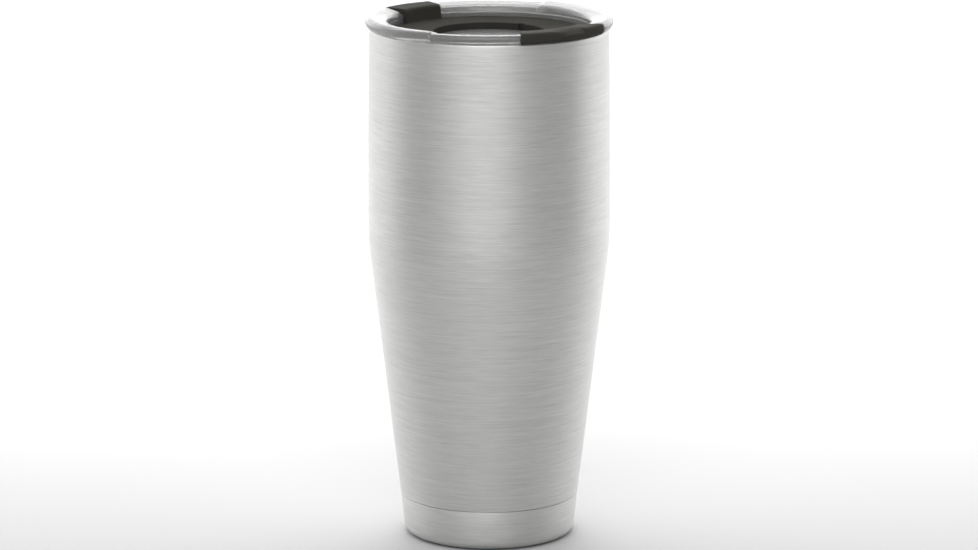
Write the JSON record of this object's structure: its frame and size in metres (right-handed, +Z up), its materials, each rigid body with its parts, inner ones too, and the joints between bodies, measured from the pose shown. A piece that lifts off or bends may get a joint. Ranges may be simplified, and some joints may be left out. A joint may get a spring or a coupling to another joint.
{
  "type": "insulated tumbler",
  "caption": "Tall vacuum tumbler in brushed steel, tapered below its shoulder, with a clear press-in lid whose dark tabbed deck twists to open the drink port.",
  "frame": {"origin": "centre of the foot pad's flat underside, on the surface the tumbler stands on", "axes": "+Z up along the cup's axis; +X towards the drinking tab in the closed position; +Y to its left as seen by the drinker facing the tab"},
  "size_m": [0.0976, 0.097, 0.2079],
  "materials": {
    "brushed_shell": "fine horizontal brush, satin",
    "liner_steel": "electropolished satin",
    "copper_foil": "bright foil",
    "seal_glass": "fired glass solder",
    "getter_metal": "sintered matte",
    "grey_silicone": "matte",
    "clear_plastic": "clear gloss copolyester",
    "clear_silicone": "translucent satin",
    "dark_plastic": "fine moulded texture",
    "soft_tab": "soft-touch satin",
    "valve_plastic": "satin"
  },
  "bodies": {
    "cup": {"outer_shell": "brushed_shell", "inner_liner": "liner_steel", "radiation_foil": "copper_foil", "vacuum_bottom": "liner_steel", "evacuation_seal": "seal_glass", "getter": "getter_metal", "base_cup": "brushed_shell", "foot_pad": "grey_silicone"},
    "lid": {"lid_rim": "clear_plastic", "lid_base": "clear_plastic", "lid_floor": "clear_plastic", "lid_gasket": "clear_silicone"},
    "twist": {"twist_deck": "dark_plastic", "drink_tab": "soft_tab", "thumb_tab": "soft_tab", "twist_hub": "clear_plastic", "deck_o_ring": "clear_silicone", "hub_o_ring": "clear_silicone", "hub_washer": "liner_steel", "hub_screw": "liner_steel"},
    "valve": {"valve_plate": "valve_plastic", "drink_seal": "clear_silicone", "vent_seal": "clear_silicone", "valve_spring": "liner_steel"}
  },
  "joints": [
    {"name": "lid_lift", "type": "slide", "parent": "cup", "child": "lid", "axis": [0, 0, 1], "range_m": [0, 0.06]},
    {"name": "deck_twist", "type": "hinge", "parent": "lid", "child": "twist", "pos_m": [0, 0, 0.2], "axis": [0, 0, -1], "range_deg": [0, 42]},
    {"name": "valve_drop", "type": "slide", "parent": "lid", "child": "valve", "axis": [0, 0, -1], "range_m": [0, 0.004], "deforming": ["valve_spring"]}
  ],
  "couplings": [
    {"joint": "valve_drop", "follows": "deck_twist", "m_per_rad": 0.00545}
  ]
}
